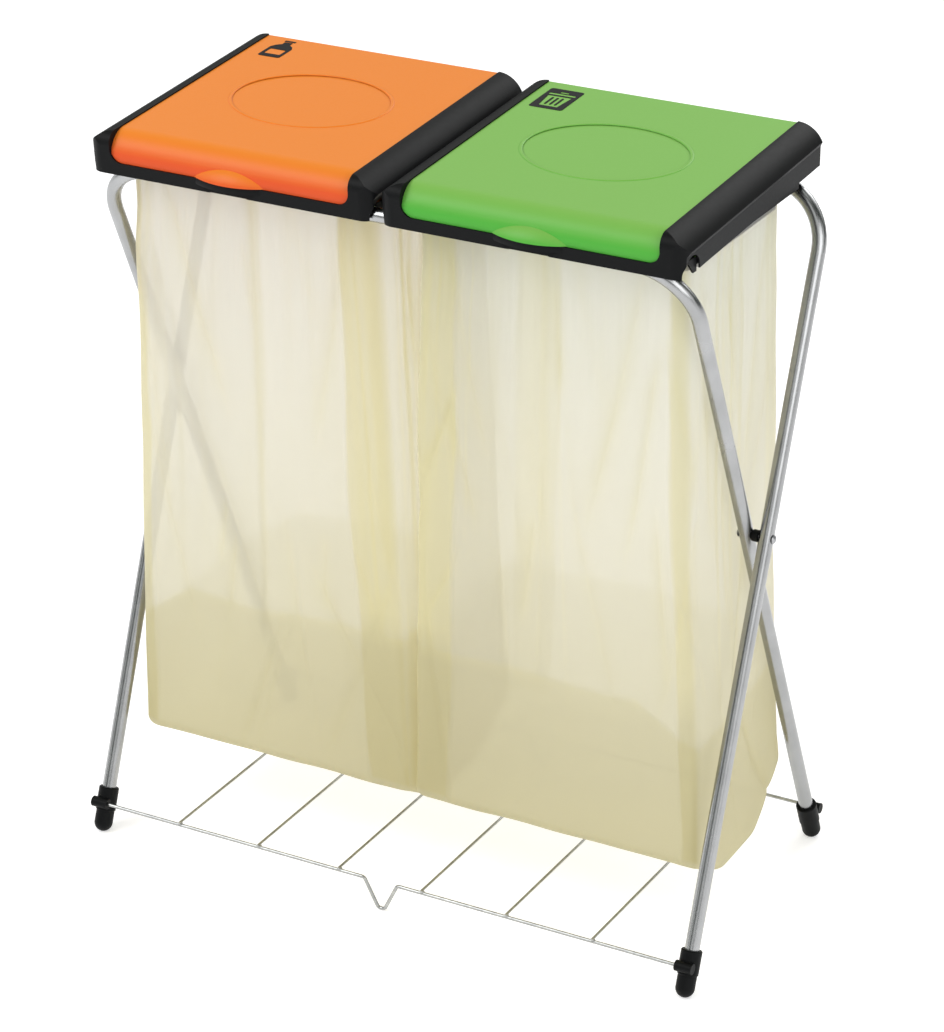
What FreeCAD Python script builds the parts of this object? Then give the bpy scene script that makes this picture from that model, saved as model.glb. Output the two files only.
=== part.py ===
import FreeCAD, Part
import math
import os
from FreeCAD import Vector

# Folding stand for two waste sacks: a scissor pair of bent tube frames, a hooked-in wire shelf,
# two mouth rings that clip on the top bars, two hinged lids and two film sacks.
# Millimetres. X runs along the top bars, Y from front to back, Z up. The origin is on the floor,
# midway between the legs. The scissor pivots lie above it, on the line Y = 0.

# Tube frames
tube_d = 16.0
tube_wall = 1.2
bar_height = 800.0
bar_half_depth = 138.5
pivot_height = 459.0
inner_half_width = 349.0
leg_gap = 7.0
bend_radius = 66.0

# Pivot rivets and spacers
rivet_d = 5.0
rivet_head_d = 10.0
rivet_head_height = 2.5
spacer_d = 13.0
pivot_clearance = 0.1
face_gap = 0.3

# Feet
foot_collar_d = 23.0
foot_ball_d = 21.0
foot_length = 52.5
foot_step = 25.0
foot_edge = 1.0
foot_flat_sink = 0.5
socket_depth = 25.0
socket_clearance = 0.05
barrel_d = 12.0
barrel_length = 20.0
barrel_end_wall = 2.0
barrel_stand_off = 13.2
hook_way_angle = 61.0

# Wire shelf
shelf_wire_d = 4.0
cross_wire_d = 3.0
shelf_height = 36.5
cross_wire_count = 6
cross_wire_margin = 85.75
cross_wire_overhang = 3.0
weld_gap = 0.05
kink_half_width = 21.0
kink_foot_half_width = 4.0
kink_floor_gap = 0.5
kink_bend_radius = 5.0
wire_clearance = 0.2
hook_clearance = 0.3

# Mouth rings
ring_side_gap = 1.1
ring_wall = 2.2
ring_corner_radius = 16.0
rim_shelf = 13.0
neck_bar_gap = 26.5
neck_height = 22.0
neck_corner_radius = 24.0
bar_gap = 0.3
nose_gap = 1.6
nose_height = 16.0
ring_lip_height = 9.0
ring_heel = 10.5
ring_heel_setback = 7.0
ring_lip_end = 18.5
clip_wall = 2.4
clip_gap = 0.2
clip_length = 30.0
clip_place = 75.0
clip_mouth_angle = 110.0
saddle_rib = 3.0
saddle_places = (35.0, 100.0)
saddle_gap = 0.6
saddle_way_angle = 51.0
saddle_back = 16.5
saddle_depth = 14.0

# Lids, drawn level round the rear bar and then tipped forwards
lid_tilt = 3.0
lid_wall = 2.2
lid_gap = 6.0
lid_overhang = 3.0
lid_shoulder = 38.0
lid_crease = 33.5
lid_crease_inset = 2.2
lid_lip_inset = 3.2
lid_bottom = 11.5
lid_top = 57.0
lid_front_overhang = 14.5
lid_rear = 26.5
rail_nose_radius = 14.0
lid_corner_radius = 16.0
rail_width = 28.0
panel_thickness = 2.5
panel_drop = 1.5
panel_roll_radius = 26.0
panel_hem = 3.0
panel_gap = 0.25
panel_corner_radius = 14.0
ledge_width = 6.0
rail_inner_depth = 21.0
rear_rail_depth = 38.0
band_top = 25.0
notch_radius = 17.0
notch_shift = 6.0
dish_half_length = 92.0
dish_half_width = 71.0
dish_depth = 0.8
dish_from_hinge = 122.5
grip_half_width = 57.0
grip_radius = 18.5
grip_wall = 2.2
grip_back = 7.5
grip_height = 21.0
grip_lip_bottom = 18.5

# Lid hinges: a bracket and pin on the ring, two eyes on the lid beside it
hinge_place = 119.0
hinge_behind_bar = 19.0
hinge_above_bar = 44.0
hinge_pin_d = 5.0
hinge_pin_overhang = 5.0
hinge_clearance = 0.1
bracket_thickness = 4.0
bracket_end_radius = 4.5
bracket_foot = 18.0
bracket_slot_gap = 1.5
eye_wall = 2.4
eye_thickness = 3.5
eye_gap = 0.5
eye_mouth = 4.0

# Sacks
sack_film = 2.0
sack_fit_gap = 0.3
sack_top_gap = 0.5
sack_bottom = 72.0
sack_keel_front = 49.0
sack_keel_rear = 34.0
sack_front_rise = 0.59
sack_rear_rise = 0.70
sack_keel_radius = 12.0
sack_snug_depth = 55.0
sack_fullness = 3.0
sack_middle_gap = 2.4
pleat_place = 27.0
pleat_height = 2.2
pleat_half_width = 6.0
# Heights above the pivots, how far the film fills out past the inner legs' faces at its front
# and rear corners, how far it fills the way to the other sack, and the corners' radius
sack_levels = (
    (141.0, -2.5, -6.5, 0.35, 22.0),
    (0.0, 0.0, -8.0, 0.55, 20.0),
    (-159.0, 7.0, -6.0, 0.75, 17.0),
    (-299.0, 10.5, -2.5, 0.90, 12.0),
    (-389.0, 12.0, 9.0, 1.0, 8.0),
)

tube_r = tube_d / 2
outer_half_width = inner_half_width + tube_d + leg_gap
lid_half_width = (inner_half_width + lid_overhang - lid_gap / 2) / 2
unit_offset = lid_half_width + lid_gap / 2
ring_half_width = lid_half_width - lid_lip_inset - lid_wall - ring_side_gap
neck_half_width = ring_half_width - rim_shelf
neck_half_depth = bar_half_depth - neck_bar_gap
panel_half_width = lid_half_width - rail_width
lid_front = 2 * bar_half_depth + lid_front_overhang
lean = math.atan2(bar_half_depth, bar_height - pivot_height)
along_bars = Vector(1, 0, 0)
ring_underside = bar_height + tube_r + bar_gap
shelf_half_depth = (pivot_height - shelf_height) * math.tan(lean) + barrel_stand_off
panel_front = lid_front - lid_wall - panel_gap
panel_top = lid_top - panel_drop
pocket_half_width = panel_half_width + panel_gap


def corner_arc(before, corner, after, radius):
    """Start, middle and end of the arc that rounds a corner."""
    back = (before - corner).normalize()
    ahead = (after - corner).normalize()
    half_turn = (math.pi - back.getAngle(ahead)) / 2
    reach = radius * math.tan(half_turn)
    middle = corner + (back + ahead).normalize() * (radius / math.cos(half_turn) - radius)
    return corner + back * reach, middle, corner + ahead * reach


def rounded_path(points, radius):
    """Open wire of straight runs with a tangent arc at each inner point."""
    edges = []
    start = points[0]
    for before, corner, after in zip(points, points[1:], points[2:]):
        first, middle, last = corner_arc(before, corner, after, radius)
        edges.append(Part.makeLine(start, first))
        edges.append(Part.Arc(first, middle, last).toShape())
        start = last
    edges.append(Part.makeLine(start, points[-1]))
    return Part.Wire(edges)


def rounded_outline(corners):
    """Closed wire through (point, radius) pairs."""
    points = [point for point, radius in corners]
    arcs = []
    for i, (point, radius) in enumerate(corners):
        after = points[(i + 1) % len(points)]
        arcs.append(corner_arc(points[i - 1], point, after, radius) if radius else (point,) * 3)
    edges = []
    for i, (first, middle, last) in enumerate(arcs):
        if first != last:
            edges.append(Part.Arc(first, middle, last).toShape())
        edges.append(Part.makeLine(last, arcs[(i + 1) % len(arcs)][0]))
    return Part.Wire(edges)


def prism(outline, way):
    """Solid swept straight from a closed flat outline."""
    return Part.Face(outline).extrude(way)


def swept_rod(path, radius):
    """Round rod along a wire."""
    first = path.Edges[0]
    section = Part.makeCircle(radius, first.Vertexes[0].Point, first.tangentAt(first.FirstParameter))
    return path.makePipeShell([Part.Wire(section)], True, False)


def slab(half_x, low_y, high_y, low_z, high_z, front_r, rear_r):
    """Block with rounded upright corners."""
    outline = rounded_outline([
        (Vector(-half_x, low_y, low_z), front_r),
        (Vector(half_x, low_y, low_z), front_r),
        (Vector(half_x, high_y, low_z), rear_r),
        (Vector(-half_x, high_y, low_z), rear_r),
    ])
    return prism(outline, Vector(0, 0, high_z - low_z))


def side_block(half_x, corners):
    """Block across the unit from (y, z, radius) corners of its side view."""
    outline = rounded_outline([(Vector(-half_x, y, z), r) for y, z, r in corners])
    return prism(outline, Vector(2 * half_x, 0, 0))


def bar_rod(radius, low_x, high_x, y, z):
    """Round bar along X."""
    return Part.makeCylinder(radius, high_x - low_x, Vector(low_x, y, z), along_bars)


def mirrored(shape):
    """The same piece for the left-hand side."""
    return shape.mirror(Vector(0, 0, 0), along_bars)


def tube_frame(half_width, facing):
    """Bent tube: two legs and a top bar. facing is -1 for feet at the front, 1 for feet at the rear."""
    end_height = (foot_length - socket_depth + face_gap) * math.cos(lean)
    end_y = facing * (pivot_height - end_height) * math.tan(lean)
    points = [
        Vector(-half_width, end_y, end_height),
        Vector(-half_width, -facing * bar_half_depth, bar_height),
        Vector(half_width, -facing * bar_half_depth, bar_height),
        Vector(half_width, end_y, end_height),
    ]
    path = rounded_path(points, bend_radius)
    tube = swept_rod(path, tube_r).cut(swept_rod(path, tube_r - tube_wall))
    reach = half_width + tube_d
    return tube.cut(bar_rod(rivet_d / 2 + pivot_clearance, -reach, reach, 0, pivot_height))


def pivot_rivet():
    """Right-hand rivet with a domed head inside the inner leg and one outside the outer leg."""
    inner_face = inner_half_width - tube_r - face_gap
    outer_face = outer_half_width + tube_r + face_gap
    head_r = rivet_head_d / 2
    dome_r = (head_r ** 2 + rivet_head_height ** 2) / (2 * rivet_head_height)
    rivet = bar_rod(rivet_d / 2, inner_face - face_gap, outer_face + face_gap, 0, pivot_height)
    for face, way in ((inner_face, -1), (outer_face, 1)):
        dome = Part.makeSphere(dome_r, Vector(face - way * (dome_r - rivet_head_height), 0, pivot_height))
        ends = sorted((face, face + way * rivet_head_height))
        rivet = rivet.fuse(dome.common(bar_rod(head_r, ends[0], ends[1], 0, pivot_height)))
    return rivet.removeSplitter()


def pivot_spacer():
    """Black washer between the crossing legs."""
    low = inner_half_width + tube_r + face_gap
    high = outer_half_width - tube_r - face_gap
    spacer = bar_rod(spacer_d / 2, low, high, 0, pivot_height)
    return spacer.cut(bar_rod(rivet_d / 2 + pivot_clearance, low, high, 0, pivot_height))


def foot(half_width):
    """Right-hand front foot: a socket on the leg, a ball on the floor and a barrel for the wire."""
    collar_r = foot_collar_d / 2
    ball_r = foot_ball_d / 2
    ball_centre = (ball_r - foot_flat_sink) / math.cos(lean)
    mouth_r = tube_r + socket_clearance
    socket_floor = foot_length - socket_depth
    start = Vector(0, 0, ball_centre - ball_r)
    round_end = Vector(ball_r, 0, ball_centre)
    halfway = Vector(ball_r * math.sin(math.pi / 4), 0, ball_centre - ball_r * math.cos(math.pi / 4))
    side = [
        round_end,
        Vector(ball_r, 0, foot_step),
        Vector(collar_r, 0, foot_step + foot_edge),
        Vector(collar_r, 0, foot_length - foot_edge),
        Vector(collar_r - foot_edge, 0, foot_length),
        Vector(0, 0, foot_length),
        start,
    ]
    edges = [Part.Arc(start, halfway, round_end).toShape()]
    edges += [Part.makeLine(a, b) for a, b in zip(side, side[1:])]
    body = Part.Face(Part.Wire(edges)).revolve(Vector(0, 0, 0), Vector(0, 0, 1), 360)
    socket = Part.makeCylinder(mouth_r, socket_depth * 2, Vector(0, 0, socket_floor))
    stand = Vector(half_width, -pivot_height * math.tan(lean), 0)
    for shape in (body, socket):
        shape.rotate(Vector(0, 0, 0), along_bars, -math.degrees(lean))
        shape.translate(stand)
    low = half_width - barrel_length / 2
    high = half_width + barrel_length / 2
    barrel = bar_rod(barrel_d / 2, low, high, -shelf_half_depth, shelf_height)
    room = 4 * foot_length
    above_floor = Part.makeBox(room, room, room, Vector(half_width - room / 2, stand.y - room / 2, 0))
    return body.fuse(barrel).common(above_floor).cut(socket)


def front_foot():
    """Its barrel is closed round the shelf wire, which turns in it."""
    low = outer_half_width - barrel_length / 2
    high = outer_half_width + barrel_length / 2 - barrel_end_wall
    bore_r = shelf_wire_d / 2 + wire_clearance
    return foot(outer_half_width).cut(bar_rod(bore_r, low, high, -shelf_half_depth, shelf_height))


def rear_foot():
    """Its barrel is an open hook, slotted the way the shelf wire lifts out as the stand folds."""
    low = inner_half_width - barrel_length / 2
    high = inner_half_width + barrel_length / 2 - barrel_end_wall
    bore_r = shelf_wire_d / 2 + hook_clearance
    bore = bar_rod(bore_r, low, high, -shelf_half_depth, shelf_height)
    way = Part.makeBox(high - low, 2 * bore_r, barrel_d, Vector(low, -bore_r, 0))
    way.rotate(Vector(0, 0, 0), along_bars, 90 - hook_way_angle)
    way.translate(Vector(0, -shelf_half_depth, shelf_height))
    return foot(inner_half_width).cut(bore.fuse(way)).mirror(Vector(0, 0, 0), Vector(0, 1, 0))


def kinked_wire(half_width, y):
    """Long shelf wire with a kink in the middle that reaches down to the floor."""
    end = half_width + barrel_length / 2 - barrel_end_wall - face_gap
    kink_height = kink_floor_gap + shelf_wire_d / 2
    profile = [
        (-end, shelf_height),
        (-kink_half_width, shelf_height),
        (-kink_foot_half_width, kink_height),
        (kink_foot_half_width, kink_height),
        (kink_half_width, shelf_height),
        (end, shelf_height),
    ]
    path = rounded_path([Vector(x, y, z) for x, z in profile], kink_bend_radius)
    return swept_rod(path, shelf_wire_d / 2)


def cross_wire(x):
    """Thin wire laid across the two long ones."""
    end = shelf_half_depth + cross_wire_overhang
    height = shelf_height + (shelf_wire_d + cross_wire_d) / 2 + weld_gap
    return Part.makeCylinder(cross_wire_d / 2, 2 * end, Vector(x, -end, height), Vector(0, 1, 0))


def snap_clip(place):
    """C-shaped clip round the rear bar, open downwards."""
    y = bar_half_depth
    inner_r = tube_r + clip_gap
    outer_r = inner_r + clip_wall
    low = place - clip_length / 2
    clip = bar_rod(outer_r, low, low + clip_length, y, bar_height)
    clip = clip.cut(bar_rod(inner_r, low, low + clip_length, y, bar_height))
    spread = 2 * outer_r * math.tan(math.radians(clip_mouth_angle / 2))
    mouth = rounded_outline([
        (Vector(low, y, bar_height), 0),
        (Vector(low, y - spread, bar_height - 2 * outer_r), 0),
        (Vector(low, y + spread, bar_height - 2 * outer_r), 0),
    ])
    return clip.cut(prism(mouth, Vector(clip_length, 0, 0)))


def hinge_bracket(place):
    """Upright gusset behind the rear bar with the lid's hinge pin through its top."""
    y = bar_half_depth + hinge_behind_bar
    z = bar_height + hinge_above_bar
    low = place - bracket_thickness / 2
    foot_rear = bar_half_depth + ring_heel
    rear_top = Vector(low, y + bracket_end_radius, z)
    front_top = Vector(low, y - bracket_end_radius, z)
    gusset = rounded_outline([
        (Vector(low, foot_rear - bracket_foot, ring_underside), 0),
        (Vector(low, foot_rear, ring_underside), 0),
        (rear_top, 0),
        (front_top, 0),
    ])
    bracket = prism(gusset, Vector(bracket_thickness, 0, 0))
    bracket = bracket.fuse(bar_rod(bracket_end_radius, low, low + bracket_thickness, y, z))
    pin_low = low - hinge_pin_overhang
    pin_high = low + bracket_thickness + hinge_pin_overhang
    return bracket.fuse(bar_rod(hinge_pin_d / 2, pin_low, pin_high, y, z))


def front_bar_way():
    """Room round the front bar and the way it leaves the ring as the stand folds."""
    r = tube_r + saddle_gap
    reach = 2 * ring_half_width
    room = bar_rod(r, -ring_half_width, ring_half_width, 0, 0)
    way = Part.makeBox(reach, 2 * r, reach, Vector(-ring_half_width, -r, -reach))
    way.rotate(Vector(0, 0, 0), along_bars, 90 - saddle_way_angle)
    room = room.fuse(way)
    room.translate(Vector(0, -bar_half_depth, bar_height))
    return room


def mouth_ring():
    """Moulded ring over both top bars; the sack's mouth hangs round its neck."""
    front = -bar_half_depth - tube_r - nose_gap
    rear = bar_half_depth - ring_lip_end
    top = ring_underside + ring_wall
    inner_r = ring_corner_radius - ring_wall
    inner_x = ring_half_width - ring_wall
    inner_front = front + ring_wall

    def rim(low):
        outer = slab(ring_half_width, front, rear, low, top, ring_corner_radius, 0)
        return outer.cut(slab(inner_x, inner_front, rear, low, ring_underside, inner_r, 0))

    neck_low = top - neck_height - ring_wall
    neck = slab(neck_half_width, -neck_half_depth, neck_half_depth, neck_low, top,
                neck_corner_radius, neck_corner_radius)
    mouth = slab(neck_half_width - ring_wall, ring_wall - neck_half_depth, neck_half_depth - ring_wall,
                 neck_low, top, neck_corner_radius - ring_wall, neck_corner_radius - ring_wall)
    nose_side = Part.makeBox(2 * ring_half_width, 2 * ring_corner_radius, nose_height,
                             Vector(-ring_half_width, front, top - nose_height))
    ring = rim(top - ring_lip_height).fuse(rim(top - nose_height).common(nose_side)).fuse(neck)
    for place in saddle_places:
        for x in (-place, place):
            rib = Part.makeBox(saddle_rib, saddle_back - bar_half_depth - inner_front, saddle_depth,
                               Vector(x - saddle_rib / 2, inner_front, ring_underside - saddle_depth))
            ring = ring.fuse(rib)
    heel_half = neck_half_width - ring_heel_setback
    heel = Part.makeBox(2 * heel_half, ring_lip_end + ring_heel, ring_wall,
                        Vector(-heel_half, rear, ring_underside))
    ring = ring.fuse(heel)
    ring = ring.cut(front_bar_way()).cut(mouth)
    ring = ring.cut(bar_rod(tube_r + clip_gap, -ring_half_width, ring_half_width, bar_half_depth, bar_height))
    for side in (-1, 1):
        ring = ring.fuse(snap_clip(side * clip_place)).fuse(hinge_bracket(side * hinge_place))
    return ring.removeSplitter()


def lid_block(inset):
    """Outer form of a lid, or its hollow when it is inset by the wall, hinge axis at the origin."""
    low = lid_bottom if inset == 0 else 0
    rise = lid_top - lid_shoulder
    run = lid_half_width - pocket_half_width
    curve_r = (run ** 2 + rise ** 2) / (2 * rise)
    sweep = math.asin(run / curve_r)

    def on_curve(angle):
        r = curve_r - inset
        return pocket_half_width + r * math.sin(angle), lid_top - curve_r + r * math.cos(angle)

    right = [
        (lid_half_width - lid_lip_inset - inset, low),
        (lid_half_width - lid_crease_inset - inset, lid_crease),
        on_curve(sweep),
    ]
    arc = [on_curve(angle) for angle in (sweep, sweep / 2, 0)]
    y = -lid_front
    edges = []
    for way in (-1, 1):
        points = [Vector(way * x, y, z) for x, z in right]
        edges += [Part.makeLine(a, b) for a, b in zip(points, points[1:])]
        edges.append(Part.Arc(*[Vector(way * x, y, z) for x, z in arc]).toShape())
    for x, z in (right[0], arc[2]):
        edges.append(Part.makeLine(Vector(-x, y, z), Vector(x, y, z)))
    section = Part.Wire(Part.__sortEdges__(edges))
    front = -lid_front + inset
    rear = lid_rear - inset
    high = lid_top - inset
    body = prism(section, Vector(0, lid_front + lid_rear, 0))
    side = side_block(lid_half_width, [
        (front, low, 0), (front, high, rail_nose_radius - inset), (rear, high, 0), (rear, low, 0),
    ])
    plan = slab(lid_half_width - inset, front, rear, low, high, lid_corner_radius - inset, 0)
    return body.common(side).common(plan)


def over_panel(underside, front_face, low, gap):
    """Everything above and in front of the panel's inner face."""
    far = 2 * lid_front
    roll = panel_roll_radius - panel_thickness
    above = side_block(panel_half_width + gap, [
        (lid_rear, underside, 0), (front_face, underside, roll), (front_face, low, 0),
        (-far, low, 0), (-far, far, 0), (lid_rear, far, 0),
    ])
    face = rounded_outline([
        (Vector(-panel_half_width - gap, -far, low), panel_corner_radius),
        (Vector(panel_half_width + gap, -far, low), panel_corner_radius),
        (Vector(panel_half_width + gap, -far, far), 0),
        (Vector(-panel_half_width - gap, -far, far), 0),
    ])
    return above.common(prism(face, Vector(0, far + lid_rear, 0)))


def grip_spindle(inset):
    """Spindle whose front makes the finger grip."""
    half = grip_half_width - 2 * inset
    arc = Part.Arc(Vector(-half, 0, 0), Vector(0, 0, grip_radius - inset), Vector(half, 0, 0))
    outline = Part.Wire([arc.toBSpline().toShape(), Part.makeLine(Vector(half, 0, 0), Vector(-half, 0, 0))])
    spindle = Part.Face(outline).revolve(Vector(0, 0, 0), along_bars, 360)
    spindle.translate(Vector(0, grip_back - panel_front, grip_height))
    return spindle


def lid_panel():
    """Coloured sheet: flat top, rolled front edge, dished oval and finger grip."""
    inner_face = panel_thickness - panel_front
    underside = panel_top - panel_thickness
    hem = band_top - panel_hem
    sheet = side_block(panel_half_width, [
        (lid_rear, panel_top, 0), (-panel_front, panel_top, panel_roll_radius), (-panel_front, hem, 0),
        (inner_face, hem, 0), (inner_face, underside, panel_roll_radius - panel_thickness),
        (lid_rear, underside, 0),
    ])
    sheet = sheet.common(over_panel(underside, inner_face, hem, 0))
    bulge = grip_spindle(0).common(over_panel(underside, inner_face, band_top + panel_gap, 0))
    oval = Part.Ellipse(Vector(0, -dish_from_hinge, panel_top - dish_depth), dish_half_length, dish_half_width)
    dish = prism(Part.Wire(oval.toShape()), Vector(0, 0, 2 * dish_depth))
    return sheet.fuse(bulge).cut(grip_spindle(grip_wall)).cut(dish).removeSplitter()


def lid_frame():
    """Black surround: side rails, front band, rear rail and the two hinge eyes."""
    outer = lid_block(0)
    inner_face = panel_thickness - panel_front
    underside = panel_top - panel_thickness
    length = lid_front + lid_rear
    frame = outer.cut(lid_block(lid_wall))
    for side in (-1, 1):
        wall_x = min(side * pocket_half_width, side * (pocket_half_width + lid_wall))
        wall = Part.makeBox(lid_wall, length, rail_inner_depth,
                            Vector(wall_x, -lid_front, lid_top - rail_inner_depth))
        edge = pocket_half_width - ledge_width
        ledge_x = min(side * edge, side * (pocket_half_width + lid_wall))
        ledge = Part.makeBox(ledge_width + lid_wall, panel_front - panel_roll_radius + lid_rear, lid_wall,
                             Vector(ledge_x, panel_roll_radius - panel_front, underside - lid_wall))
        frame = frame.fuse(wall.common(outer)).fuse(ledge)
    rear_rail = Part.makeBox(2 * pocket_half_width, rear_rail_depth, lid_wall,
                             Vector(-pocket_half_width, lid_rear - rear_rail_depth, underside - lid_wall))
    frame = frame.fuse(rear_rail).cut(over_panel(underside, inner_face, band_top, panel_gap))
    lip_room = Part.makeBox(2 * grip_half_width, 2 * grip_radius, band_top - grip_lip_bottom,
                            Vector(-grip_half_width, lid_wall - lid_front - 2 * grip_radius, grip_lip_bottom))
    frame = frame.fuse(grip_spindle(0).common(lip_room)).cut(grip_spindle(grip_wall))
    return frame.removeSplitter()


def seated(shape):
    """Tips a lid piece forwards and sets it over the bars."""
    shape.rotate(Vector(0, 0, 0), along_bars, lid_tilt)
    shape.translate(Vector(0, bar_half_depth, bar_height))
    return shape


def with_eyes(frame):
    """Adds the hinge eyes beside the ring's brackets and slots the rear wall for them."""
    y = bar_half_depth + hinge_behind_bar
    z = bar_height + hinge_above_bar
    bore_r = hinge_pin_d / 2 + hinge_clearance
    eye_r = bore_r + eye_wall
    high = bar_height + panel_top - panel_thickness
    slot_half = bracket_thickness / 2 + bracket_slot_gap
    for place in (-hinge_place, hinge_place):
        slot = Part.makeBox(2 * slot_half, lid_rear, z + eye_r - bar_height,
                            Vector(place - slot_half, y, bar_height))
        frame = frame.cut(slot)
        for side in (-1, 1):
            near = place + side * (bracket_thickness / 2 + eye_gap)
            low = min(near, near + side * eye_thickness)
            eye = bar_rod(eye_r, low, low + eye_thickness, y, z)
            stem = Part.makeBox(eye_thickness, 2 * eye_r, high - z, Vector(low, y - eye_r, z))
            mouth = Part.makeBox(eye_thickness, eye_mouth, eye_r, Vector(low, y - eye_mouth / 2, z - eye_r))
            bore = bar_rod(bore_r, low, low + eye_thickness, y, z)
            frame = frame.fuse(eye.fuse(stem).cut(mouth).cut(bore))
    return frame


def notched(frame):
    """Half-round notches in the side skirts, over the front bar."""
    notch = bar_rod(notch_radius, -lid_half_width, lid_half_width, notch_shift - bar_half_depth, bar_height)
    for side in (-1, 1):
        low = min(side * (pocket_half_width + 2 * lid_wall), side * lid_half_width)
        high = max(side * (pocket_half_width + 2 * lid_wall), side * lid_half_width)
        column = Part.makeBox(high - low, 2 * notch_radius, 2 * notch_radius,
                              Vector(low, notch_shift - bar_half_depth - notch_radius, bar_height - 2 * notch_radius))
        reach = Part.makeBox(high - low, 4 * notch_radius, 4 * notch_radius,
                             Vector(low, -bar_half_depth - 2 * notch_radius, bar_height - 2 * notch_radius))
        frame = frame.cut(notch.common(reach).fuse(column))
    return frame


def pleat(start, along, out):
    """Three corners of a lap fold that stands out of the film, near one end of a wall."""
    return [
        (start, 0),
        (start + along * (pleat_half_width / 2) + out * pleat_height, 0),
        (start + along * (2 * pleat_half_width), 0),
    ]


def sack_outline(z, front_x, rear_x, inner_x, half_y, radius):
    """Level outline with a lap fold beside each corner, drawn for the right-hand sack."""
    front_inner = Vector(-inner_x, -half_y, z)
    front_outer = Vector(front_x, -half_y, z)
    rear_outer = Vector(rear_x, half_y, z)
    rear_inner = Vector(-inner_x, half_y, z)
    to_rear = (rear_outer - front_outer).normalize()
    side_out = Vector(to_rear.y, -to_rear.x, 0)
    ahead = Vector(0, -1, 0)
    reach = pleat_place + 2 * pleat_half_width
    corners = [(front_inner, radius)]
    corners += pleat(front_inner + along_bars * pleat_place, along_bars, ahead)
    corners += pleat(front_outer - along_bars * reach, along_bars, ahead)
    corners.append((front_outer, radius))
    corners += pleat(front_outer + to_rear * pleat_place, to_rear, side_out)
    corners += pleat(rear_outer - to_rear * reach, to_rear, side_out)
    corners.append((rear_outer, radius))
    corners += pleat(rear_outer - along_bars * pleat_place, along_bars * -1, ahead * -1)
    corners += pleat(rear_inner + along_bars * reach, along_bars * -1, ahead * -1)
    corners.append((rear_inner, radius))
    return rounded_outline(corners)


def sack_body(grow, top, lift):
    """Filled sack: snug at the neck, fuller below, with a bottom folded like a boat's hull."""
    snug_x = neck_half_width + sack_fit_gap + grow
    snug_y = neck_half_depth + sack_fit_gap + grow
    snug_r = neck_corner_radius + grow
    leg_face = inner_half_width - tube_r - unit_offset
    middle = unit_offset - sack_middle_gap / 2
    inset = sack_film - grow
    sections = []
    for z in (top, bar_height - sack_snug_depth):
        sections.append(sack_outline(z, snug_x, snug_x, snug_x, snug_y, snug_r))
    for rise, front, rear, share, radius in sack_levels:
        inner_x = snug_x + inset + (middle - snug_x - inset) * share - inset
        sections.append(sack_outline(pivot_height + rise, leg_face + front - inset, leg_face + rear - inset,
                                     inner_x, snug_y + sack_fullness, radius))
    body = Part.makeLoft(sections, True, True)
    reach = 2 * neck_half_depth
    keel = sack_bottom + lift
    form = side_block(2 * neck_half_width, [
        (-sack_keel_front, keel, sack_keel_radius), (sack_keel_rear, keel, sack_keel_radius),
        (reach, keel + (reach - sack_keel_rear) * sack_rear_rise, 0), (reach, 2 * bar_height, 0),
        (-reach, 2 * bar_height, 0), (-reach, keel + (reach - sack_keel_front) * sack_front_rise, 0),
    ])
    return body.common(form)


def sack():
    """Open film bag, its mouth round the ring's neck."""
    top = ring_underside - sack_top_gap
    return sack_body(sack_film, top, 0).cut(sack_body(0, top + sack_film, sack_film))


nodes = {
    "outer_tube_frame": tube_frame(outer_half_width, -1),
    "inner_tube_frame": tube_frame(inner_half_width, 1),
    "shelf_front_wire": kinked_wire(outer_half_width, -shelf_half_depth),
    "shelf_rear_wire": kinked_wire(inner_half_width, shelf_half_depth),
}
pairs = {
    "front_foot": front_foot(),
    "rear_foot": rear_foot(),
    "pivot_rivet": pivot_rivet(),
    "pivot_spacer": pivot_spacer(),
}
for name, shape in pairs.items():
    nodes[name + "_right"] = shape
    nodes[name + "_left"] = mirrored(shape)
for i in range(cross_wire_count):
    across = 2 * i / (cross_wire_count - 1) - 1
    nodes["cross_wire_%d" % (i + 1)] = cross_wire(across * (inner_half_width - cross_wire_margin))
unit = {
    "mouth_ring": mouth_ring(),
    "lid_frame": with_eyes(notched(seated(lid_frame()))),
    "lid_panel": seated(lid_panel()),
}
for name, shape in unit.items():
    for side, x in (("left", -unit_offset), ("right", unit_offset)):
        nodes[name + "_" + side] = shape.translated(Vector(x, 0, 0))
nodes["sack_right"] = sack().translated(Vector(unit_offset, 0, 0))
nodes["sack_left"] = mirrored(nodes["sack_right"])

os.makedirs("parts", exist_ok=True)
for name, shape in nodes.items():
    shape.exportStep("parts/" + name + ".step")
    print(name, shape.isValid(), len(shape.Solids), round(shape.Volume))
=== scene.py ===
import math

import bpy
import numpy as np
from mathutils import Matrix, Vector


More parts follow.
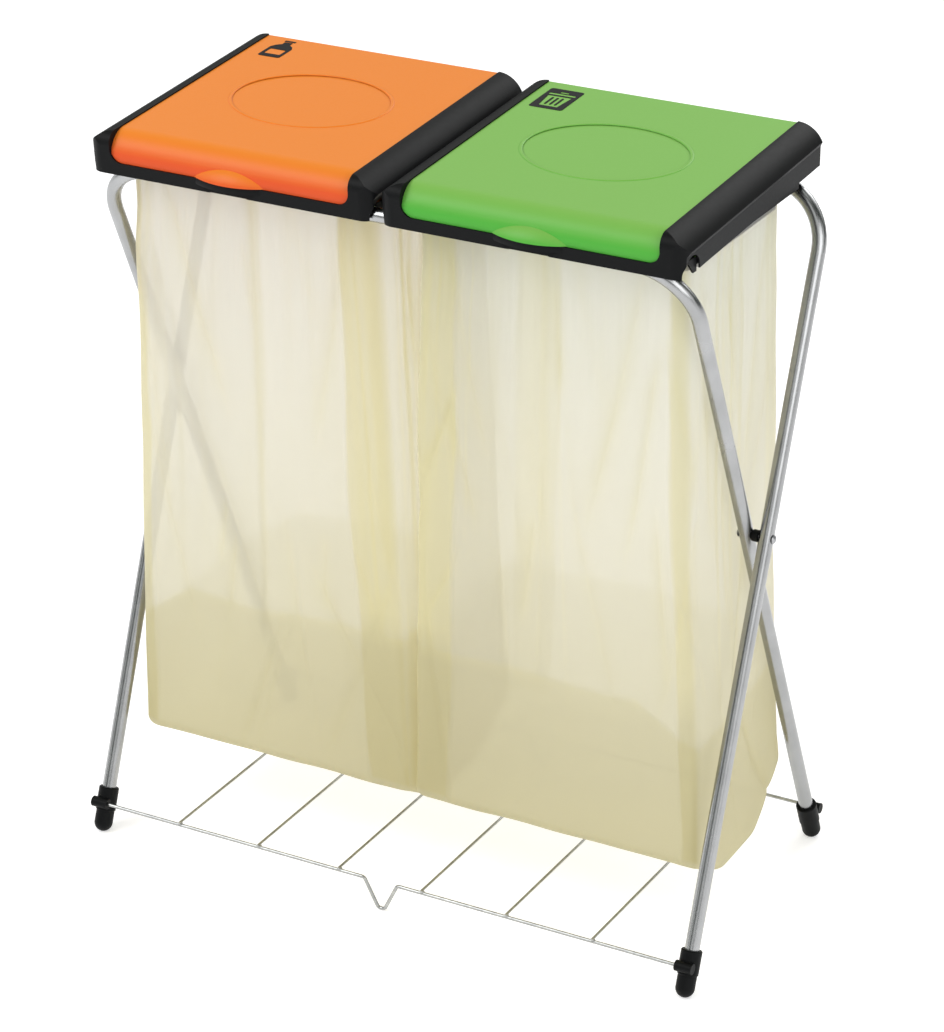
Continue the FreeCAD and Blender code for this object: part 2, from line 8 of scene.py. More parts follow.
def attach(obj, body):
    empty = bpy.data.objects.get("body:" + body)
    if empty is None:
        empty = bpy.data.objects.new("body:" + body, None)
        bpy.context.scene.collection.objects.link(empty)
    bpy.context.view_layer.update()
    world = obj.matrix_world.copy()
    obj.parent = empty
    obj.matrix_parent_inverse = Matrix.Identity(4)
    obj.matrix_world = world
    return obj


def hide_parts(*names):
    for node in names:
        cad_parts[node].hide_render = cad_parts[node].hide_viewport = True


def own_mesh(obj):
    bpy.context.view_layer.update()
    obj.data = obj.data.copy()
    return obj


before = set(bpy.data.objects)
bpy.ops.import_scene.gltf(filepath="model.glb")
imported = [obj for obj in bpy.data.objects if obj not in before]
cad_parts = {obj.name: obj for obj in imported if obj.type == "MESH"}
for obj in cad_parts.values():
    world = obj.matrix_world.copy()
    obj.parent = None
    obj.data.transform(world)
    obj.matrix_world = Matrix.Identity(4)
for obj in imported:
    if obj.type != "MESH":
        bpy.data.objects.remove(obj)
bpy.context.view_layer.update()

# Camera. It stands to the right of the stand and above it, as a catalogue photographer would,
# far enough back that the legs stay almost parallel.
CAMERA_PLACE = Vector((1.8540, -3.1734, 2.1560))
CAMERA_TURN, CAMERA_RISE, CAMERA_ROLL = (math.radians(a) for a in (30.05, 25.51, -1.15))
camera_data = bpy.data.cameras.new("studio_camera")
camera_data.lens = 129.9
camera_data.sensor_width = 36.0
camera_data.clip_end = 50.0
camera = bpy.data.objects.new("studio_camera", camera_data)
bpy.context.scene.collection.objects.link(camera)
away = Vector((math.sin(CAMERA_TURN) * math.cos(CAMERA_RISE),
               -math.cos(CAMERA_TURN) * math.cos(CAMERA_RISE), math.sin(CAMERA_RISE)))
across = (-away).cross(Vector((0, 0, 1))).normalized()
upward = across.cross(-away)
right = across * math.cos(CAMERA_ROLL) + upward * math.sin(CAMERA_ROLL)
top = upward * math.cos(CAMERA_ROLL) - across * math.sin(CAMERA_ROLL)
camera.matrix_world = Matrix.Translation(CAMERA_PLACE) @ Matrix((right, top, away)).transposed().to_4x4()
bpy.context.scene.camera = camera


# Bent steel tube of the two frames, zinc plated bright and then lacquered.
# The plating mirrors the studio as long light and dark streaks, a little softened by the lacquer.
def colour(hex_value):
    """sRGB hex to the linear colour that a shader takes."""
    parts = [int(hex_value[i:i + 2], 16) / 255 for i in (1, 3, 5)]
    return [c / 12.92 if c <= 0.04045 else ((c + 0.055) / 1.055) ** 2.4 for c in parts] + [1.0]


def add(tree, kind, links=None, **settings):
    """A node with its settings. links maps an input to the node or socket that feeds it."""
    node = tree.nodes.new(kind)
    for name, value in settings.items():
        if hasattr(node, name):
            setattr(node, name, value)
        else:
            node.inputs[name.replace("_", " ")].default_value = value
    for name, source in (links or {}).items():
        output = source.outputs[0] if hasattr(source, "outputs") else source
        tree.links.new(output, node.inputs[name])
    return node


def new_material(name):
    """An empty node material with its output, ready for a surface."""
    material = bpy.data.materials.new(name)
    material.use_nodes = True
    material.node_tree.nodes.clear()
    return material, material.node_tree


def finish_node(node_name, material):
    """Gives a carried-over CAD node its finish."""
    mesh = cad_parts[node_name].data
    mesh.materials.clear()
    mesh.materials.append(material)


def ramp(tree, source, stops):
    """Colour ramp from (place, hex) stops."""
    node = add(tree, "ShaderNodeValToRGB", {"Fac": source})
    elements = node.color_ramp.elements
    while len(elements) < len(stops):
        elements.new(0.5)
    for element, (place, hex_value) in zip(elements, stops):
        element.position = place
        element.color = colour(hex_value)
    return node


plated_tube, tree = new_material("zinc_plated_tube")
place = add(tree, "ShaderNodeTexCoord")
mottle = add(tree, "ShaderNodeTexNoise", {"Vector": place.outputs["Object"]}, Scale=30.0, Detail=2.0)
tint = ramp(tree, mottle, [(0.3, "#A2A3A4"), (0.7, "#AEAFB0")])
gloss = add(tree, "ShaderNodeMapRange", {"Value": mottle}, **{"To Min": 0.24, "To Max": 0.29})
surface = add(tree, "ShaderNodeBsdfPrincipled", {"Base Color": tint, "Roughness": gloss}, Metallic=1.0)
add(tree, "ShaderNodeOutputMaterial", {"Surface": surface})
for node_name in ("outer_tube_frame", "inner_tube_frame"):
    finish_node(node_name, plated_tube)


# Welded wire shelf: two long wires with six thin cross wires resistance welded on top, zinc plated.
# The thin wire shows darker than the tubes, and a small flat bead sits at each crossing.
plated_wire, tree = new_material("zinc_plated_wire")
place = add(tree, "ShaderNodeTexCoord")
mottle = add(tree, "ShaderNodeTexNoise", {"Vector": place.outputs["Object"]}, Scale=160.0, Detail=3.0)
tint = ramp(tree, mottle, [(0.3, "#A2A3A3"), (0.7, "#BDBEBC")])
surface = add(tree, "ShaderNodeBsdfPrincipled", {"Base Color": tint}, Metallic=1.0, Roughness=0.28)
add(tree, "ShaderNodeOutputMaterial", {"Surface": surface})
for node_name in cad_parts:
    if node_name.startswith(("shelf_", "cross_wire_")):
        finish_node(node_name, plated_wire)

CROSS_WIRE_SPAN, LONG_WIRE_GAP, CROSS_WIRES, BEAD_RADIUS, BEAD_HEIGHT = 0.5265, 0.3696, 6, 0.0029, 0.0387
bead_group = bpy.data.node_groups.new("weld_beads", "GeometryNodeTree")
sockets = {}
for name, kind in (("Span", "NodeSocketFloat"), ("Reach", "NodeSocketFloat"), ("Wires", "NodeSocketInt"),
                   ("Bead radius", "NodeSocketFloat"), ("Finish", "NodeSocketMaterial")):
    sockets[name] = bead_group.interface.new_socket(name, in_out="INPUT", socket_type=kind).identifier
bead_group.interface.new_socket("Geometry", in_out="OUTPUT", socket_type="NodeSocketGeometry")
given = add(bead_group, "NodeGroupInput")
grid = add(bead_group, "GeometryNodeMeshGrid",
           {"Size X": given.outputs["Span"], "Size Y": given.outputs["Reach"],
            "Vertices X": given.outputs["Wires"]})
grid.inputs["Vertices Y"].default_value = 2
bead = add(bead_group, "GeometryNodeMeshIcoSphere", {"Radius": given.outputs["Bead radius"]}, Subdivisions=3)
uneven = add(bead_group, "FunctionNodeRandomValue", data_type="FLOAT_VECTOR", Seed=7)
uneven.inputs[0].default_value = (0.85, 0.8, 0.42)
uneven.inputs[1].default_value = (1.15, 1.05, 0.55)
points = add(bead_group, "GeometryNodeInstanceOnPoints", {"Points": grid, "Instance": bead, "Scale": uneven})
real = add(bead_group, "GeometryNodeRealizeInstances", {"Geometry": points})
smooth = add(bead_group, "GeometryNodeSetShadeSmooth", {"Geometry": real})
coated = add(bead_group, "GeometryNodeSetMaterial", {"Geometry": smooth, "Material": given.outputs["Finish"]})
add(bead_group, "NodeGroupOutput", {"Geometry": coated})
beads = bpy.data.objects.new("weld_beads", bpy.data.meshes.new("weld_beads"))
bpy.context.scene.collection.objects.link(beads)
welding = beads.modifiers.new("welding", "NODES")
welding.node_group = bead_group
for name, value in (("Span", CROSS_WIRE_SPAN), ("Reach", LONG_WIRE_GAP), ("Wires", CROSS_WIRES),
                    ("Bead radius", BEAD_RADIUS), ("Finish", plated_wire)):
    welding[sockets[name]] = value
bpy.context.view_layer.update()
welded = bpy.data.meshes.new_from_object(beads.evaluated_get(bpy.context.evaluated_depsgraph_get()))
beads.modifiers.clear()
beads.data = welded
welded.transform(Matrix.Translation((0, 0, BEAD_HEIGHT)))
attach(beads, "shelf")


# Rivets through the crossed legs: zinc plated steel with domed heads, peened over by a press.
# The hammered head breaks the shine into small soft patches.
rivet_steel, tree = new_material("peened_rivet_steel")
place = add(tree, "ShaderNodeTexCoord")
mottle = add(tree, "ShaderNodeTexNoise", {"Vector": place.outputs["Object"]}, Scale=700.0, Detail=3.0)
tint = ramp(tree, mottle, [(0.3, "#8C8D8F"), (0.7, "#C2C3C5")])
surface = add(tree, "ShaderNodeBsdfPrincipled", {"Base Color": tint}, Metallic=1.0, Roughness=0.38)
add(tree, "ShaderNodeOutputMaterial", {"Surface": surface})
for side in ("left", "right"):
    finish_node("pivot_rivet_" + side, rivet_steel)


# Black polypropylene of the feet, spacers, mouth rings and lid surrounds, injection moulded.
# A fine spark-eroded grain spreads the highlights, and walls are painted a little lighter grey than tops, a
# painted highlight.
def moulded_plastic(name, painted_wall_tone, level, grain_mm, roughness, shine):
    """Moulded plastic with a fine grain. upright and level are its tones on walls and on tops, and the step
    between them is painted light and shade.
    """
    material, tree = new_material(name)
    place = add(tree, "ShaderNodeTexCoord")
    facing = add(tree, "ShaderNodeSeparateXYZ", {"Vector": place.outputs["Normal"]})
    flat = add(tree, "ShaderNodeMath", {0: facing.outputs["Z"]}, operation="ABSOLUTE")
    # Walls and tops take different tones by the normal's slope: painted light and shade.
    tint = ramp(tree, flat, [(0.15, painted_wall_tone), (0.95, level)])
    grain = add(tree, "ShaderNodeTexNoise", {"Vector": place.outputs["Object"]},
                Scale=1000.0 / grain_mm / 4, Detail=2.0)
    bump = add(tree, "ShaderNodeBump", {"Height": grain}, Strength=0.10, Distance=0.0002)
    rough = add(tree, "ShaderNodeMapRange", {"Value": grain},
                **{"To Min": roughness - 0.05, "To Max": roughness + 0.05})
    surface = add(tree, "ShaderNodeBsdfPrincipled", {"Base Color": tint, "Normal": bump, "Roughness": rough},
                  **{"IOR": 1.49, "Specular IOR Level": shine})
    add(tree, "ShaderNodeOutputMaterial", {"Surface": surface})
    return material


# Walls painted a little lighter than tops, as painted light.
black_plastic = moulded_plastic("moulded_black_polypropylene", "#121314", "#0A0B0B", 0.9, 0.46, 0.11)
for node_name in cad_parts:
    if node_name.startswith(("front_foot", "rear_foot", "pivot_spacer", "mouth_ring", "lid_frame")):
        finish_node(node_name, black_plastic)


# Coloured lid panels, moulded in orange and in green polypropylene and clipped into the surrounds.
# The grain is finer than on the black pieces, and the rolled front and other walls are painted a deeper tone
# than the top: painted shade.
# Each lid: its hue, the deeper tone painted on walls and the rolled front as painted shade, and the tone of
# its top.
lid_colours = {"left": ("orange", "#E85A2A", "#F08823"), "right": ("green", "#55B541", "#7FBA52")}
for side, (hue, painted_shade_tone, level) in lid_colours.items():
    panel_plastic = moulded_plastic("moulded_%s_polypropylene" % hue, painted_shade_tone, level, 0.7, 0.40, 0.24)
    finish_node("lid_panel_" + side, panel_plastic)


# Raised lip round the dished oval of each lid, moulded with the sheet and 0.8 mm high.
# It catches a fine line of light on its far side and of shade on its near side.
LID_TILT, LID_CENTRE, HINGE_BAR_Y, BAR_HEIGHT, SHEET_TOP = math.radians(3), 0.1775, 0.1385, 0.8, 0.0555
DISH_HALF_LENGTH, DISH_HALF_WIDTH, DISH_FROM_HINGE = 0.092, 0.071, 0.1225
LIP_HALF_WIDTH, LIP_RISE, LIP_SINK, LIP_TURNS, LIP_STEPS = 0.0021, 0.0009, 0.0001, 160, 7


def dish_lip(side, hue):
    """Low round-backed ring along the dish's edge."""
    points, faces = [], []
    for i in range(LIP_TURNS):
        turn = 2 * math.pi * i / LIP_TURNS
        for j in range(LIP_STEPS):
            arch = math.pi * j / (LIP_STEPS - 1)
            across, rise = -math.cos(arch), math.sin(arch)
            half_length = DISH_HALF_LENGTH + LIP_HALF_WIDTH * across
            half_width = DISH_HALF_WIDTH + LIP_HALF_WIDTH * across
            points.append((half_length * math.cos(turn), half_width * math.sin(turn),
                           LIP_RISE * rise - LIP_SINK))
            if j < LIP_STEPS - 1:
                a, b = i * LIP_STEPS + j, (i + 1) % LIP_TURNS * LIP_STEPS + j
                faces.append((a, a + 1, b + 1, b))
    mesh = bpy.data.meshes.new("dish_lip_" + side)
    mesh.from_pydata(points, [], faces)
    mesh.shade_smooth()
    centre = Matrix.Translation((LID_CENTRE if side == "right" else -LID_CENTRE, HINGE_BAR_Y, BAR_HEIGHT))
    on_sheet = Matrix.Translation((0, -DISH_FROM_HINGE, SHEET_TOP))
    mesh.transform(centre @ Matrix.Rotation(LID_TILT, 4, "X") @ on_sheet)
    mesh.materials.append(bpy.data.materials["moulded_%s_polypropylene" % hue])
    lip = bpy.data.objects.new("dish_lip_" + side, mesh)
    bpy.context.scene.collection.objects.link(lip)
    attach(lip, "lid_" + side)


dish_lip("left", "orange")
dish_lip("right", "green")


# Pictograms printed on the lids in black: a plain bottle on the orange one, a waste bin on the green one.
# The ink is drawn 0.3 mm thick and is more matt than the sheet below it.
print_ink = moulded_plastic("screen_printed_black_ink", "#1B1B1C", "#1B1B1C", 0.5, 0.62, 0.2)
INK_HALF, INK_LIFT = 0.00015, 0.0002


def printed_sign(name, side, centre_x, centre_y, outlines):
    """Flat black sign on a lid, in metres. Outlines are closed loops, and a loop inside another opens it."""
    curve = bpy.data.curves.new(name, "CURVE")
    curve.dimensions = "2D"
    curve.fill_mode = "BOTH"
    curve.extrude = INK_HALF
    for outline in outlines:
        spline = curve.splines.new("POLY")
        spline.points.add(len(outline) - 1)
        for point, (x, y) in zip(spline.points, outline):
            point.co = (x / 1000, y / 1000, 0, 1)
        spline.use_cyclic_u = True
    drawn = bpy.data.objects.new(name + "_outline", curve)
    bpy.context.scene.collection.objects.link(drawn)
    bpy.context.view_layer.update()
    mesh = bpy.data.meshes.new_from_object(drawn.evaluated_get(bpy.context.evaluated_depsgraph_get()))
    bpy.data.objects.remove(drawn)
    along = (centre_y - HINGE_BAR_Y + SHEET_TOP * math.sin(LID_TILT)) / math.cos(LID_TILT)
    height = BAR_HEIGHT + along * math.sin(LID_TILT) + (SHEET_TOP + INK_LIFT) * math.cos(LID_TILT)
    mesh.transform(Matrix.Translation((centre_x, centre_y, height)) @ Matrix.Rotation(LID_TILT, 4, "X"))
    mesh.materials.clear()
    mesh.materials.append(print_ink)
    sign = bpy.data.objects.new(name, mesh)
    bpy.context.scene.collection.objects.link(sign)
    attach(sign, "lid_" + side)


def rounded(x0, y0, x1, y1, r):
    """Loop round a rectangle with round corners."""
    loop = []
    corners = ((x1 - r, y0 + r, -90), (x1 - r, y1 - r, 0), (x0 + r, y1 - r, 90), (x0 + r, y0 + r, 180))
    for cx, cy, start in corners:
        for step in range(7):
            turn = math.radians(start + 15 * step)
            loop.append((cx + r * math.cos(turn), cy + r * math.sin(turn)))
    return loop


bottle = [(-12, -23), (12, -23), (14, -21), (14, 4), (11, 10), (5, 15), (5, 21), (-5, 21), (-5, 15),
          (-11, 10), (-14, 4), (-14, -21)]
bottle_label, bottle_cap = rounded(-10, -15, 10, -1, 2), rounded(-7, 22.5, 7, 26, 1)
printed_sign("bottle_sign", "left", -0.290, 0.128, [bottle, bottle_label, bottle_cap])
bin_patch, bin_body = rounded(-20, -27, 20, 27, 3), [(-11, -20), (11, -20), (14, 8), (-14, 8)]
bin_slats = [rounded(x - 1.3, -16, x + 1.3, 4, 1.2) for x in (-6, 0, 6)]
bin_lid, bin_knob = rounded(-16, 11, 16, 15, 1.5), rounded(-5, 17, 5, 20, 1)
printed_sign("bin_sign", "right", 0.063, 0.119, [bin_patch, bin_body] + bin_slats + [bin_lid, bin_knob])


# The two sacks: lay-flat tubes of translucent yellow polythene turned out over the rings' necks.
# One layer is pale and lets the legs show through. Laps are deeper yellow for their extra film; the folded
# bottom, underside, creases and streaks are deeper for extra film and painted shade.
# Levels in mm: height, outer side at front and rear, inner side, half depth, corner radius.
SACK_LEVELS = np.array([(70, 353, 350, 1.2, 117.3, 8), (160, 351.5, 338.5, 3.1, 117.3, 12),
                        (300, 348, 335, 6, 117.3, 17), (459, 341, 333, 9.8, 117.3, 20),
                        (600, 338.5, 334.5, 13.6, 117.3, 22), (700, 336.6, 334.6, 17.5, 116.6, 24),
                        (745, 334.8, 334.8, 20.2, 114.6, 26), (807.4, 334.8, 334.8, 20.2, 114.3, 26)]) / 1000
SACK_TOP, SACK_KEEL, KEEL_RADIUS = 0.8074, 0.0738, 0.010
KEEL_FRONT, KEEL_REAR, FRONT_RISE, REAR_RISE, KEEL_BLEND = -0.049, 0.034, 0.59, 0.70, 0.006
WALL_POINTS, ARC_POINTS, SACK_ROWS, FLOOR_ROWS = (105, 78, 105, 78), 9, 150, 30
INNER_LAP, OUTER_LAP, FOLDED_BELOW, FLOOR_LAYERS_AND_SHADE = 0.050, 0.019, 0.300, 0.62
CREASES_A_WALL, STREAKS_A_WALL, CREASE_TONE = 15, 9, 115
GATHER_PITCHES, BILLOW_PITCHES = (0.0113, 0.0171, 0.029), (0.27, 0.18, 0.121)
DEEPEST, PROUDEST = -0.0050, 0.0014


def ease(value):
    """0 below 0, 1 above 1, and smooth between."""
    value = np.clip(value, 0, 1)
    return value * value * (3 - 2 * value)


def sack_columns():
    """Corner before, corner after, share of the way and outward angle of each column round the sack."""
    columns = []
    for wall, count in enumerate(WALL_POINTS):
        start = (180, 270, 360, 450)[wall]
        columns += [(wall, wall, 0, start + 90 * i / (ARC_POINTS - 1)) for i in range(ARC_POINTS)]
        columns += [(wall, (wall + 1) % 4, i / (count + 1), start + 90) for i in range(1, count + 1)]
    before, after, share, turn = (np.array(part) for part in zip(*columns))
    return before.astype(int), after.astype(int), share, np.radians(turn)


def sack_outline(height, columns):
    """Points of the smooth sack, for an array of heights with one column for each column of the sack."""
    before, after, share, turn = columns
    levels = SACK_LEVELS[:, 0]
    front, rear, inner, half, r = (np.interp(height, levels, SACK_LEVELS[:, k]) for k in range(1, 6))
    corner_x = np.stack([inner + r, front - r, rear - r, inner + r])
    corner_y = np.stack([r - half, r - half, half - r, half - r])
    column = np.arange(len(share))
    start_x, end_x = corner_x[before, :, column].T, corner_x[after, :, column].T
    start_y, end_y = corner_y[before, :, column].T, corner_y[after, :, column].T
    x = (1 - share) * start_x + share * end_x + r * np.cos(turn)
    y = (1 - share) * start_y + share * end_y + r * np.sin(turn)
    return x, y


def keel(y):
    """Height of the sack's underside, which rises to the front and to the rear."""
    slopes = FRONT_RISE * (KEEL_FRONT - y), REAR_RISE * (y - KEEL_REAR)
    return SACK_KEEL + sum(0.5 * (slope + np.sqrt(slope ** 2 + KEEL_BLEND ** 2)) for slope in slopes) - 0.0005


def crease(run, z, start, end, depth, width):
    """Sharp fold along a line on the unrolled sack, fading out at both ends."""
    length = math.dist(start, end)
    du, dz = (end[0] - start[0]) / length, (end[1] - start[1]) / length
    along = (run - start[0]) * du + (z - start[1]) * dz
    off = (run - start[0]) * dz - (z - start[1]) * du
    fade = ease(along / (0.3 * length)) * ease((length - along) / (0.3 * length))
    return depth * fade * np.exp(-np.abs(off) / width)


def sack_folds(rng, run, z, wall_start, hang, seed):
    """How far gathers and billows move the film, how far creases do, and the deeper tone of its streaks,
    partly the extra film of small folds and partly painted shade.
    """
    gather = sum(np.sin(2 * np.pi * run / pitch + seed * pitch * 900) for pitch in GATHER_PITCHES) / 3
    billow = 0.0010 * gather * (1 - hang) + 0.0006 * gather * hang * ease((z - 0.55) / 0.2)
    for pitch in BILLOW_PITCHES:
        lean = rng.uniform(-0.5, 0.5)
        around = np.sin(2 * np.pi * (run + lean * z) / pitch + rng.uniform(0, 6.28))
        down = np.cos(2 * np.pi * z / rng.uniform(0.3, 0.6) + rng.uniform(0, 6.28))
        billow = billow + 0.0008 * hang * around * down
    creases, tone = np.zeros_like(z), np.zeros_like(z)
    for low, high in zip(wall_start, wall_start[1:]):
        for _ in range(CREASES_A_WALL):
            start = (rng.uniform(low, high), rng.uniform(0.25, 0.80))
            fall = rng.uniform(0.10, 0.40)
            end = (start[0] + fall * rng.normal(0, 0.22), max(0.09, start[1] - fall))
            depth, width = rng.choice([-0.0032, -0.0020, 0.0014]), rng.uniform(0.003, 0.009)
            creases = creases + crease(run, z, start, end, depth, width)
        for corner, middle in ((low + 0.035, 0.35), (high - 0.012, 0.65)):
            end = (low + middle * (high - low), rng.uniform(0.42, 0.52))
            creases = creases + crease(run, z, (corner, 0.83), end, -0.0030, 0.010)
        # Thin streaks of deeper tint: small folds' extra film, and painted shade.
        for _ in range(STREAKS_A_WALL):
            place, wide = rng.uniform(low, high), rng.uniform(0.001, 0.006)
            streak = run - place - 0.01 * rng.normal() * z
            strength = rng.uniform(0.06, 0.30)
            tone += strength * np.exp(-(streak / wide) ** 2) * ease((z - rng.uniform(0.1, 0.5)) / 0.2)
    for wall in (1, 3):
        low, high = wall_start[wall] + 0.012, wall_start[wall + 1]
        for corner in (low, high):
            creases = creases + crease(run, z, (corner, 0.06), ((low + high) / 2, 0.27), -0.0030, 0.006)
    return billow, creases, tone


def film_sack(name, side, seed):
    """Sagging film shell, drawn for the right side and mirrored for the left."""
    rng = np.random.default_rng(seed)
    columns = sack_columns()
    turn = columns[3]
    _, foot_y = sack_outline(np.full((1, len(turn)), 0.2), columns)
    lowest = keel(foot_y) + KEEL_RADIUS
    drop = np.linspace(0, 1, SACK_ROWS)[:, None]
    z = SACK_TOP + (lowest - SACK_TOP) * drop
    x, y = sack_outline(z, columns)
    middle_row = SACK_ROWS // 2
    steps = np.hypot(np.diff(x[middle_row]), np.diff(y[middle_row]))
    run = np.concatenate([[0], np.cumsum(steps)])[None, :]
    wall_start = [run[0, sum(WALL_POINTS[:k]) + k * ARC_POINTS] for k in range(4)] + [run[0, -1]]

    front, inner = (np.interp(z, SACK_LEVELS[:, 0], SACK_LEVELS[:, k]) for k in (1, 3))
    sway = 0.004 * np.sin(7 * z + seed) + 0.002 * np.sin(23 * z + 2 * seed)
    from_inner, from_outer = x - inner - INNER_LAP - sway, front - x - OUTER_LAP - 0.4 * sway
    broad = ease(2 * np.abs(np.sin(turn)) - 0.6)[None, :]
    inner_lap, outer_lap = (0.5 - 0.5 * np.tanh(part / 0.0012) for part in (from_inner, from_outer))
    lap = broad * np.maximum(inner_lap, outer_lap)
    edge = broad * (np.exp(-(from_inner / 0.0022) ** 2) + np.exp(-(from_outer / 0.0022) ** 2))
    slant = 0.05 * np.clip(1 - (front - x) / 0.07, 0, 1)
    # Below about 0.3 m, lower near the outer corner, the film is tinted deeper: the folded bottom's extra
    # film, and painted shade.
    folded_at = FOLDED_BELOW - slant + 0.003 * np.sin(31 * run + seed)
    folded_and_shaded = 0.5 + 0.5 * np.tanh((folded_at - z) / 0.003)

    hang = ease((0.800 - z) / 0.11)
    billow, creases, tone = sack_folds(rng, run, z, wall_start, hang, seed)
    bulge = billow + creases
    # Creases get a deeper tone: painted shade in the fold, and partly film bunched there.
    tone += CREASE_TONE * np.abs(creases) * (1 - 0.6 * folded_and_shaded)
    out = -0.0012 + 0.0008 * lap + 0.0014 * edge + (0.25 + 0.75 * hang) * bulge
    out = np.clip(out, DEEPEST, PROUDEST)
    x, y = x + out * np.cos(turn), y + out * np.sin(turn)
    # Weight of the deeper tint, which also makes the film less see-through: laps are extra film; the folded
    # bottom, creases and streaks are extra film and painted shade.
    layers_and_shade = np.clip(0.72 * lap + 0.50 * folded_and_shaded + tone, 0, 1)

    rows, tones = [np.stack([x, y, z], axis=2)], [layers_and_shade]
    middle_x = 0.5 * (x[-1].min() + x[-1].max())
    # The underside rows get a fixed deeper tint: folded film, and painted shade on a surface that faces down.
    for step in range(1, FLOOR_ROWS + 1):
        share = 1 - (step / (FLOOR_ROWS + 1)) ** 1.5
        px, py = middle_x + (x[-1] - middle_x) * share, y[-1] * share
        inward = np.clip(np.hypot(x[-1] - px, y[-1] - py) / KEEL_RADIUS, 0, 1)
        sag = 0.0008 * np.sin(55 * px + seed) * np.sin(80 * py + 9 * px)
        pz = keel(py) + KEEL_RADIUS * (1 - np.sqrt(1 - (1 - inward) ** 2)) + sag * inward
        rows.append(np.stack([px, py, pz], axis=1)[None])
        tones.append(np.full((1, len(turn)), FLOOR_LAYERS_AND_SHADE))
    points, tones = np.concatenate(rows), np.concatenate(tones)
    count, columns_count = points.shape[:2]
    points[..., 0] *= side
    a = np.arange(count * columns_count).reshape(count, columns_count)
    b = np.roll(a, -1, axis=1)
    faces = np.stack([a[:-1], a[1:], b[1:], b[:-1]], axis=2).reshape(-1, 4)
    hub = count * columns_count
    fan = [(int(p), hub, int(q)) for p, q in zip(a[-1], b[-1])]
    faces = [tuple(face) for face in faces.tolist()] + fan
    if side < 0:
        faces = [face[::-1] for face in faces]
    vertices = points.reshape(-1, 3).tolist() + [(side * middle_x, 0, float(keel(0.0)))]
    mesh = bpy.data.meshes.new(name)
    mesh.from_pydata(vertices, [], faces)
    layer_values = mesh.attributes.new("layers_and_shade", "FLOAT", "POINT").data
    layer_values.foreach_set("value", tones.ravel().tolist() + [FLOOR_LAYERS_AND_SHADE])
    mesh.shade_smooth()
    piece = bpy.data.objects.new(name, mesh)
    bpy.context.scene.collection.objects.link(piece)
    return piece


sack_film, tree = new_material("blown_yellow_polythene_film")
place = add(tree, "ShaderNodeTexCoord")
height = add(tree, "ShaderNodeSeparateXYZ", {"Vector": place.outputs["Object"]})
# One layer of film, a little darker towards the bottom.
single = ramp(tree, height.outputs["Z"], [(0.10, "#EFECDB"), (0.45, "#F4F2E9"), (0.80, "#F8F7F2")])
layers_and_shade = add(tree, "ShaderNodeAttribute", attribute_name="layers_and_shade")
# Deeper tint for lapped film, much deeper below about 0.3 m: extra film layers, and painted shade at the
# bottom.
lapped_and_shaded = ramp(tree, height.outputs["Z"], [(0.10, "#DCD5AF"), (0.285, "#DED8B6"), (0.33, "#EFE9C4")])
tint = add(tree, "ShaderNodeMix", {0: layers_and_shade.outputs["Fac"], 6: single, 7: lapped_and_shaded}, data_type="RGBA")
crinkle = add(tree, "ShaderNodeTexNoise", {"Vector": place.outputs["Object"]}, Scale=60.0, Detail=4.0)
bump = add(tree, "ShaderNodeBump", {"Height": crinkle}, Strength=0.18, Distance=0.0015)
body = add(tree, "ShaderNodeBsdfPrincipled", {"Base Color": tint.outputs[2], "Normal": bump},
           Roughness=0.38, IOR=1.5)
glow = add(tree, "ShaderNodeBsdfTranslucent", {"Color": tint.outputs[2], "Normal": bump})
clear = add(tree, "ShaderNodeBsdfTransparent", {"Color": tint.outputs[2]})
cloth = add(tree, "ShaderNodeMixShader", {1: body, 2: glow}, Fac=0.5)
open_share = add(tree, "ShaderNodeMapRange", {"Value": layers_and_shade.outputs["Fac"]},
                 **{"To Min": 0.36, "To Max": 0.16})
film = add(tree, "ShaderNodeMixShader", {0: open_share, 1: cloth, 2: clear})
add(tree, "ShaderNodeOutputMaterial", {"Surface": film})

for side, seed in (("left", 11), ("right", 29)):
    sack = film_sack("film_sack_" + side, {"left": -1, "right": 1}[side], seed)
    sack.data.materials.append(sack_film)
    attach(sack, "outer_frame")
    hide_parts("sack_" + side)
    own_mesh(sack)


# Studio: a white paper sweep under the stand, a large soft key from the left, a weaker fill and a back light.
# The sweep shows white and keeps a faint shadow. Dark patches in the air give the metal its streaks.
FLOOR_HALF, FLOOR_GLOW = 9, 0.50


def seen_rays(tree):
    """1 for a ray that ends in the picture straight, by a reflection or through the film, otherwise 0."""
    light = add(tree, "ShaderNodeLightPath")
    kinds = ("Camera", "Glossy", "Transmission")
    straight, mirrored, through = (light.outputs["Is %s Ray" % kind] for kind in kinds)
    seen = add(tree, "ShaderNodeMath", {0: straight, 1: mirrored}, operation="MAXIMUM")
    return add(tree, "ShaderNodeMath", {0: seen, 1: through}, operation="MAXIMUM")


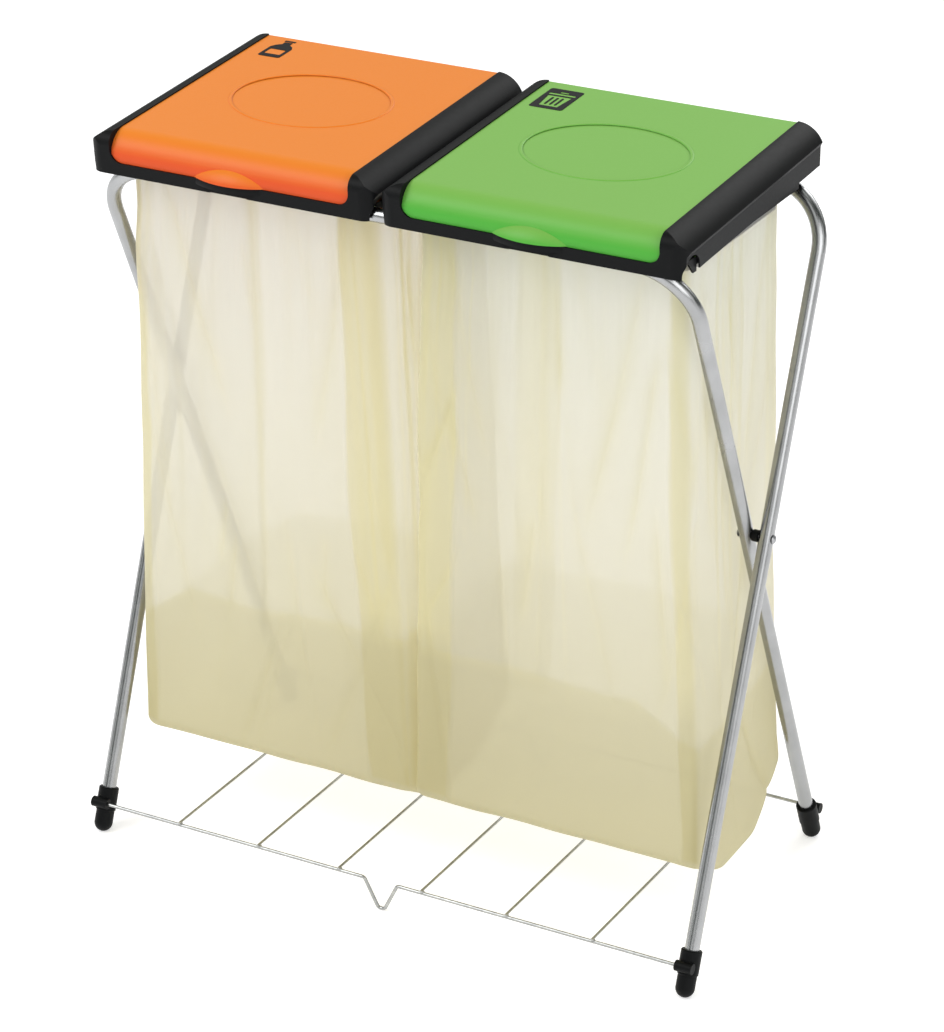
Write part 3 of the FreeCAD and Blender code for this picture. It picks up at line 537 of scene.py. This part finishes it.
floor_mesh = bpy.data.meshes.new("studio_floor")
floor_corners = [(FLOOR_HALF * x, FLOOR_HALF * y, 0) for x, y in ((-1, -1), (1, -1), (1, 1), (-1, 1))]
floor_mesh.from_pydata(floor_corners, [], [(0, 1, 2, 3)])
floor = bpy.data.objects.new("studio_floor", floor_mesh)
bpy.context.scene.collection.objects.link(floor)
white_sweep, tree = new_material("white_paper_sweep")
paper = add(tree, "ShaderNodeBsdfDiffuse", Color=colour("#EFEFEF"))
seen = seen_rays(tree)
lift = add(tree, "ShaderNodeMath", {0: seen}, operation="MULTIPLY")
lift.inputs[1].default_value = FLOOR_GLOW
shine = add(tree, "ShaderNodeEmission", {"Strength": lift})
both = add(tree, "ShaderNodeAddShader", {0: paper, 1: shine})
add(tree, "ShaderNodeOutputMaterial", {"Surface": both})
floor_mesh.materials.append(white_sweep)

world = bpy.data.worlds.new("studio_air")
bpy.context.scene.world = world
world.use_nodes = True
tree = world.node_tree
tree.nodes.clear()
light = add(tree, "ShaderNodeLightPath")
place = add(tree, "ShaderNodeTexCoord")
walls = add(tree, "ShaderNodeTexNoise", {"Vector": place.outputs["Generated"]}, Scale=1.9, Detail=1.0)
flags = ramp(tree, walls, [(0.42, "#3F443F"), (0.47, "#8E958D"), (0.50, "#E8ECE6"), (0.56, "#FFFFFF")])
view = add(tree, "ShaderNodeMix", {0: light.outputs["Is Glossy Ray"], 7: flags}, data_type="RGBA")
view.inputs[6].default_value = colour("#FFFFFF")
seen = seen_rays(tree)
power = add(tree, "ShaderNodeMapRange", {"Value": seen}, **{"To Min": 0.55, "To Max": 1.0})
air = add(tree, "ShaderNodeBackground", {"Color": view.outputs[2], "Strength": power})
add(tree, "ShaderNodeOutputWorld", {"Surface": air})


def soft_light(name, place, aim, size, power):
    """Large square lamp turned towards a point."""
    data = bpy.data.lights.new(name, "AREA")
    data.shape = "SQUARE"
    data.size = size
    data.energy = power
    lamp = bpy.data.objects.new(name, data)
    bpy.context.scene.collection.objects.link(lamp)
    turn = (Vector(aim) - Vector(place)).to_track_quat("-Z", "Y")
    lamp.matrix_world = Matrix.Translation(place) @ turn.to_matrix().to_4x4()


soft_light("key_light", (-1.9, -2.2, 3.0), (0, 0, 0.4), 2.0, 60.0)
soft_light("fill_light", (2.6, -1.4, 1.8), (0, 0, 0.4), 2.0, 22.0)
soft_light("back_light", (0.5, 2.6, 2.4), (0, 0, 0.5), 2.0, 30.0)
bpy.context.scene.view_settings.view_transform = "Standard"
